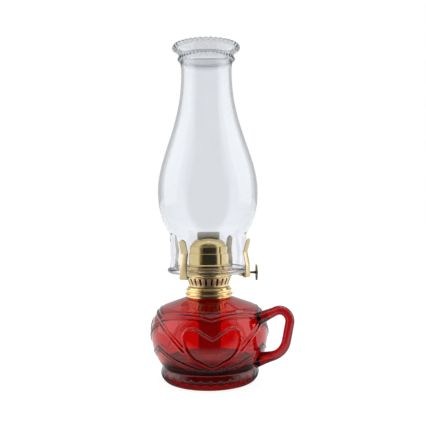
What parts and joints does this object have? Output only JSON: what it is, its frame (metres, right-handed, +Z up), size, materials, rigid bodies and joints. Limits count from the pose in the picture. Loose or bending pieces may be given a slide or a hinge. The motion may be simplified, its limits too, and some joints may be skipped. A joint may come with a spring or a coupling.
{
  "type": "oil lamp",
  "caption": "Pressed-glass hand oil lamp with finger handle and heart relief, brass collar, flat-wick burner with geared wick raiser and spring prongs, and a lift-off beaded chimney.",
  "frame": {"origin": "middle of the foot ring, on the surface the lamp stands on", "axes": "+Z up along the lamp's axis, +X towards the finger handle"},
  "size_m": [0.1417, 0.1128, 0.3169],
  "materials": {
    "ruby_glass": "deep red pressed glass, fire-polished",
    "clear_glass": "clear blown glass",
    "brass": "bright spun brass",
    "dark_steel": "steel wire darkened by heat",
    "plaster": "chalky lamp plaster",
    "wick_cotton": "woven cotton tape"
  },
  "bodies": {
    "lamp": {"font": "ruby_glass", "collar": "brass", "collar_plaster": "plaster"},
    "burner": {"burner_base": "brass", "air_basket": "brass", "gallery": "brass", "diffuser": "brass", "deflector": "brass", "wick_tube": "brass", "vent_tube": "brass", "bracket_outer": "brass", "bracket_inner": "brass", "shaft_bush": "brass", "prong_1": "brass", "prong_2": "brass", "prong_3": "brass", "prong_4": "brass"},
    "raiser": {"raiser_shaft": "dark_steel", "thumb_wheel": "brass", "spur_wheel_1": "dark_steel", "spur_wheel_2": "dark_steel", "spur_wheel_3": "dark_steel", "spur_wheel_4": "dark_steel"},
    "wick": {"wick": "wick_cotton"},
    "chimney": {"chimney": "clear_glass"}
  },
  "joints": [
    {"name": "burner_lift", "type": "slide", "parent": "lamp", "child": "burner", "axis": [0, 0, 1], "range_m": [0, 0.07]},
    {"name": "chimney_lift", "type": "slide", "parent": "burner", "child": "chimney", "axis": [0, 0, 1], "range_m": [0, 0.06]},
    {"name": "raiser_turn", "type": "hinge", "parent": "burner", "child": "raiser", "pos_m": [-0.00261, 0.00512, 0.0994], "axis": [-0.891, -0.454, 0], "range_deg": [-68, 76]},
    {"name": "wick_feed", "type": "slide", "parent": "burner", "child": "wick", "axis": [0, 0, 1], "range_m": [-0.0055, 0.006]}
  ],
  "couplings": [
    {"joint": "wick_feed", "follows": "raiser_turn", "m_per_rad": 0.00445}
  ]
}
